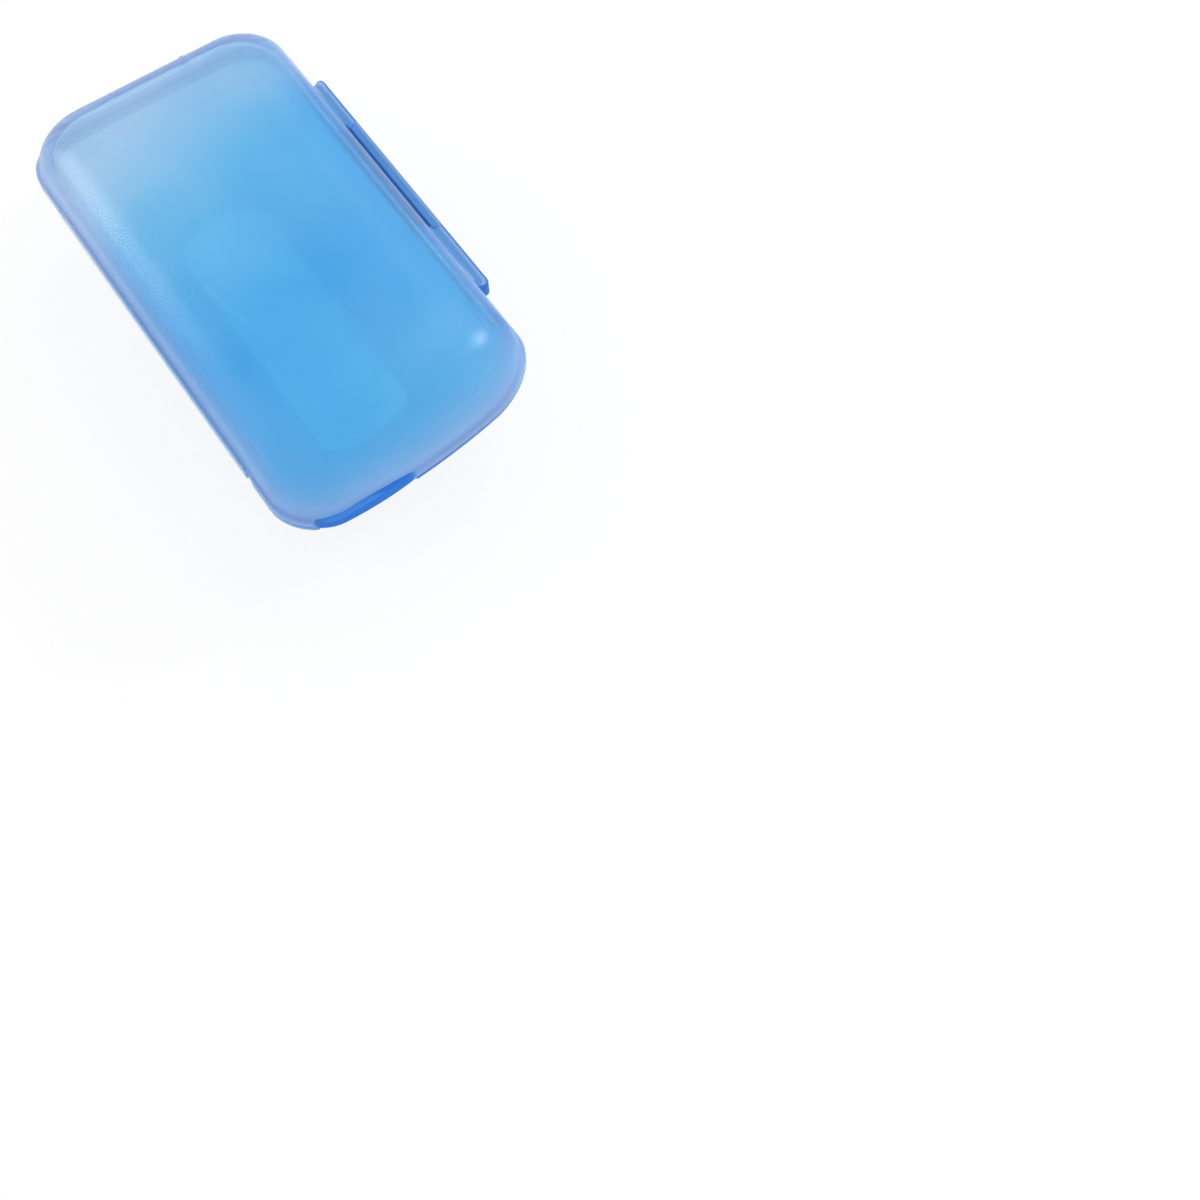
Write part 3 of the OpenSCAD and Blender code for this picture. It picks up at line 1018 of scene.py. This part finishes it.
def blue_plastic(look, name, deep, density, rim_clear):
    """Translucent blue polypropylene: clouded, finely frosted and deeper at its rims, with painted
    highlights on its pale rims and painted light at the closed end's hinge corner.
    """
    material = bpy.data.materials.new(name)
    material.use_nodes = True
    tree = material.node_tree
    tree.nodes.clear()
    coords = tree.nodes.new("ShaderNodeTexCoord")
    rim = node(tree, "ShaderNodeAttribute", attribute_name="rim").outputs["Fac"]
    shader = node(tree, "ShaderNodeBsdfPrincipled")

    milky = ramp(tree, noise(tree, coords, CLOUD, 2.0).outputs["Fac"], *CLOUD_SHARE, 0.0, 1.0)
    clouded = blend_colour(tree, milky, (*look.face_blue, 1.0), (*look.milky_blue, 1.0))
    # Painted light: paler towards the closed end's hinge corner
    face = blend_colour(tree, painted_light_share(tree, coords), clouded, (*look.painted_light_blue, 1.0))
    # Painted highlights: rim shades below 0 turn towards the highlight blue
    highlighted = blend_colour(tree, ramp(tree, rim, -1.0, 0.0, 1.0, 0.0), face, (*look.highlight_blue, 1.0))
    base = blend_colour(tree, ramp(tree, rim, 0.0, 1.0, 0.0, deep), highlighted, (*look.edge_blue, 1.0))
    tree.links.new(base, shader.inputs["Base Color"])

    either = node(tree, "ShaderNodeMath", operation="ABSOLUTE")
    tree.links.new(rim, either.inputs[0])
    passed = ramp(tree, either.outputs[0], 0.0, 1.0, look.clear, rim_clear)
    tree.links.new(passed, shader.inputs["Transmission Weight"])
    shader.inputs["IOR"].default_value = look.refraction

    flow = noise(tree, coords, FLOW, 4.0).outputs["Fac"]
    smoothest, roughest = look.roughness - SMOOTHER, look.roughness + ROUGHER
    rough = node(tree, "ShaderNodeMix", data_type="FLOAT")
    tree.links.new(rim, rough.inputs["Factor"])
    tree.links.new(ramp(tree, flow, *FLOW_SHARE, smoothest, roughest), rough.inputs["A"])
    rough.inputs["B"].default_value = look.rim_roughness
    tree.links.new(rough.outputs["Result"], shader.inputs["Roughness"])

    shader.inputs["Coat Roughness"].default_value = look.coat_roughness
    tree.links.new(ramp(tree, rim, 0.0, COAT_FADE, look.coat, look.rim_coat), shader.inputs["Coat Weight"])
    bump = node(tree, "ShaderNodeBump", Strength=look.grain, Distance=GRAIN_HEIGHT)
    link(tree, noise(tree, coords, GRAIN, 2.0), "Fac", bump, "Height")
    link(tree, bump, "Normal", shader, "Normal")

    depth = node(tree, "ShaderNodeVolumeAbsorption", Density=density)
    depth.inputs["Color"].default_value = (*look.tint, 1.0)
    out = tree.nodes.new("ShaderNodeOutputMaterial")
    link(tree, shader, "BSDF", out, "Surface")
    link(tree, depth, "Volume", out, "Volume")
    return material


SHELL_DEEP, TONGUE_DEEP, FILM_DEEP = 0.9, 0.6, 0.9
FILM_THINNESS = 0.2


def plastic(context, name, deep, thinness=1.0, clear_rim=False):
    """The named plastic, made once."""
    look = context.scene.cover_plastic
    rim_clear = look.clear if clear_rim else look.rim_clear
    kept = bpy.data.materials.get(name)
    return kept or blue_plastic(look, name, deep, look.density * thinness, rim_clear)


class COVER_OT_front_shell(bpy.types.Operator):
    """Build the front shell with its catch ridge and the gate's stub"""

    bl_idname = "cover.front_shell"
    bl_label = "Front shell"

    def execute(self, context):
        scene = context.scene
        sizes, mouth, clasp = scene.cover_shells, scene.cover_mouth, scene.cover_clasp
        skin = plastic(context, "blue_shell", SHELL_DEEP)
        mesh = front_mesh(sizes, mouth, clasp, scene.cover_hinge)
        shell = add_piece("moulded_front_shell", mesh, skin)
        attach(shell, "lid")
        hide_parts("front_shell")
        mesh = catch_mesh(sizes, clasp, scene.cover_tongue)
        ridge = add_piece("moulded_catch_ridge", mesh, skin)
        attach(ridge, "lid")
        stub = add_piece("gate_stub", gate_mesh(sizes, scene.cover_gate), skin)
        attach(stub, "lid")
        return {"FINISHED"}


class COVER_OT_back_shell(bpy.types.Operator):
    """Build the back shell with its mouth and finger flange"""

    bl_idname = "cover.back_shell"
    bl_label = "Back shell"

    def execute(self, context):
        scene = context.scene
        skin = plastic(context, "blue_shell", SHELL_DEEP)
        mesh = back_mesh(scene.cover_shells, scene.cover_mouth, scene.cover_clasp, scene.cover_hinge)
        shell = add_piece("moulded_back_shell", mesh, skin)
        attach(shell, "back")
        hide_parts("back_shell")
        return {"FINISHED"}


class COVER_OT_latch(bpy.types.Operator):
    """Build the latch tongue"""

    bl_idname = "cover.latch"
    bl_label = "Latch tongue"

    def execute(self, context):
        scene = context.scene
        mesh = tongue_mesh(scene.cover_shells, scene.cover_clasp, scene.cover_tongue)
        skin = plastic(context, "blue_edge", TONGUE_DEEP, clear_rim=True)
        tongue = add_piece("moulded_latch_tongue", mesh, skin)
        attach(tongue, "latch")
        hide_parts("latch_tongue")
        return {"FINISHED"}


class COVER_OT_hinge(bpy.types.Operator):
    """Build the hinge film between the two shells"""

    bl_idname = "cover.hinge"
    bl_label = "Hinge film"

    def execute(self, context):
        scene = context.scene
        sizes, hinge = scene.cover_shells, scene.cover_hinge
        skin = plastic(context, "blue_film", FILM_DEEP, FILM_THINNESS)
        film = add_piece("moulded_hinge_film", film_mesh(sizes, hinge), skin)
        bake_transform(film)
        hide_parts("hinge_film")
        return {"FINISHED"}


def soft_light(name, at, aim, size, power):
    """A soft square light that looks at a point."""
    data = bpy.data.lights.new(name, "AREA")
    data.shape = "SQUARE"
    data.size = size
    data.energy = power
    lamp = bpy.data.objects.new(name, data)
    bpy.context.scene.collection.objects.link(lamp)
    lamp.location = at
    lamp.rotation_euler = (Vector(aim) - Vector(at)).to_track_quat("-Z", "Y").to_euler()


def photo_camera(stage, centre):
    """Camera at the photograph's distance, tilt and roll, with the cover at its place in the frame."""
    lean = Vector((math.tan(stage.tilt_x), math.tan(stage.tilt_y), 1.0)).normalized()
    right = Vector((0, 1, 0)).cross(lean).normalized()
    up = lean.cross(right)
    turned_right = right * math.cos(stage.roll) - up * math.sin(stage.roll)
    turned_up = right * math.sin(stage.roll) + up * math.cos(stage.roll)
    half = PICTURE_PX / 2
    toward = Vector((
        (stage.centre_px[0] - half) / stage.focal_px,
        -(stage.centre_px[1] - half) / stage.focal_px,
        -1.0)).normalized()
    swing = Vector((0, 0, -1)).rotation_difference(toward).to_matrix()
    to_camera = swing @ Matrix((turned_right, turned_up, lean))
    data = bpy.data.cameras.new("photo_camera")
    data.sensor_width = SENSOR_MM
    data.lens = stage.focal_px / PICTURE_PX * SENSOR_MM
    data.clip_start = NEAR_CLIP
    camera = bpy.data.objects.new("photo_camera", data)
    bpy.context.scene.collection.objects.link(camera)
    at = centre + lean * stage.distance
    camera.matrix_world = Matrix.Translation(at) @ to_camera.transposed().to_4x4()
    bpy.context.scene.camera = camera


def white_floor(stage):
    """A pale floor that the camera sees as white, with the cover's soft shadow on it."""
    mesh = bpy.data.meshes.new("floor")
    corners = [(x * FLOOR_HALF, y * FLOOR_HALF, 0) for x, y in ((-1, -1), (1, -1), (1, 1), (-1, 1))]
    mesh.from_pydata(corners, [], [(0, 1, 2, 3)])
    floor = bpy.data.objects.new("floor", mesh)
    bpy.context.scene.collection.objects.link(floor)
    material = bpy.data.materials.new("floor_white")
    material.use_nodes = True
    tree = material.node_tree
    tree.nodes.clear()
    paths = tree.nodes.new("ShaderNodeLightPath")
    seen = paths.outputs["Is Camera Ray"]
    for name in ("Is Glossy Ray", "Is Transmission Ray"):
        seen = combined(tree, "MAXIMUM", seen, paths.outputs[name])
    part = combined(tree, "MULTIPLY", seen, stage.floor_glow)
    matt = node(tree, "ShaderNodeBsdfDiffuse", Color=(*stage.floor_white, 1.0))
    glow = node(tree, "ShaderNodeEmission", Strength=1.0)
    both = tree.nodes.new("ShaderNodeMixShader")
    tree.links.new(part, both.inputs["Fac"])
    tree.links.new(matt.outputs[0], both.inputs[1])
    tree.links.new(glow.outputs[0], both.inputs[2])
    out = tree.nodes.new("ShaderNodeOutputMaterial")
    link(tree, both, 0, out, "Surface")
    mesh.materials.append(material)


# A glow's direction, the angles between which it fades out, and the ray's Y between which it fades in
Glow = namedtuple("Glow", "toward inner_deg outer_deg strength dark_y lit_y")
SIDE_GLOW = Glow((-0.75, 0.63, 0.18), 4.0, 19.0, 7.5, 0.59, 0.65)
TOP_GLOW = Glow((0.60, 0.35, 0.72), 4.0, 26.0, 1.9, -1.1, -1.0)
KEY_AT = (0.305, -0.055, 0.19)
KEY_SIZE = 0.055
KEY_POWER = 0.32


def soft_world(stage):
    """White light from all round, with soft glows where the studio's lamps are, seen as plain white."""
    world = bpy.data.worlds.new("studio")
    world.use_nodes = True
    tree = world.node_tree
    coords = tree.nodes.new("ShaderNodeTexCoord")
    split = tree.nodes.new("ShaderNodeSeparateXYZ")
    link(tree, coords, "Generated", split, 0)
    total = stage.world_light
    for glow in (SIDE_GLOW, TOP_GLOW):
        facing = reach_along(tree, coords, "Generated", Vector(glow.toward).normalized())
        low, high = math.cos(math.radians(glow.outer_deg)), math.cos(math.radians(glow.inner_deg))
        lit = ramp(tree, split.outputs["Y"], glow.dark_y, glow.lit_y, 0.0, 1.0)
        spread = ramp(tree, facing, low, high, 0.0, glow.strength, "SMOOTHSTEP")
        total = combined(tree, "ADD", combined(tree, "MULTIPLY", spread, lit), total)
    paths = tree.nodes.new("ShaderNodeLightPath")
    seen = node(tree, "ShaderNodeMix", data_type="FLOAT")
    tree.links.new(paths.outputs["Is Camera Ray"], seen.inputs["Factor"])
    tree.links.new(total, seen.inputs["A"])
    seen.inputs["B"].default_value = 1.0
    tree.links.new(seen.outputs["Result"], tree.nodes["Background"].inputs["Strength"])
    tree.nodes["Background"].inputs["Color"].default_value = (1.0, 1.0, 1.0, 1.0)
    bpy.context.scene.world = world


class COVER_OT_stage(bpy.types.Operator):
    """Set up the floor, the lights and the camera"""

    bl_idname = "cover.stage"
    bl_label = "Stage"

    def execute(self, context):
        scene = context.scene
        stage, sizes = scene.cover_stage, scene.cover_shells
        centre = Vector((stage.aim_x, stage.aim_y, sizes.back_depth + sizes.rim_gap / 2))
        white_floor(stage)
        soft_world(stage)
        soft_light("key", KEY_AT, centre, KEY_SIZE, KEY_POWER)
        photo_camera(stage, centre)
        scene.view_settings.view_transform = "Standard"
        return {"FINISHED"}


class COVER_PT_panel(bpy.types.Panel):
    """Lists the cover's pieces and sizes"""

    bl_idname = "COVER_PT_panel"
    bl_label = "Toothbrush cover"
    bl_space_type = "VIEW_3D"
    bl_region_type = "UI"
    bl_category = "Cover"

    def draw(self, context):
        column = self.layout.column()
        for piece in OPERATORS:
            column.operator(piece.bl_idname)
        for name, group in GROUPS.items():
            settings = getattr(context.scene, name)
            column.label(text=group.__doc__)
            for key in group.__annotations__:
                column.prop(settings, key)


GROUPS = {
    "cover_shells": ShellSizes,
    "cover_mouth": MouthSizes,
    "cover_clasp": ClaspSizes,
    "cover_tongue": TongueSizes,
    "cover_hinge": HingeSizes,
    "cover_gate": GateSizes,
    "cover_plastic": PlasticLook,
    "cover_stage": StageLook,
}
OPERATORS = (COVER_OT_back_shell, COVER_OT_front_shell, COVER_OT_hinge, COVER_OT_latch, COVER_OT_stage)
CLASSES = (*GROUPS.values(), *OPERATORS, COVER_PT_panel)


def register():
    for made in CLASSES:
        bpy.utils.register_class(made)
    for name, group in GROUPS.items():
        setattr(bpy.types.Scene, name, bpy.props.PointerProperty(type=group))


def unregister():
    for name in GROUPS:
        delattr(bpy.types.Scene, name)
    for made in reversed(CLASSES):
        bpy.utils.unregister_class(made)


def main():
    register()
    bpy.ops.cover.back_shell()
    bpy.ops.cover.front_shell()
    bpy.ops.cover.hinge()
    bpy.ops.cover.latch()
    bpy.ops.cover.stage()


if __name__ == "__main__":
    main()
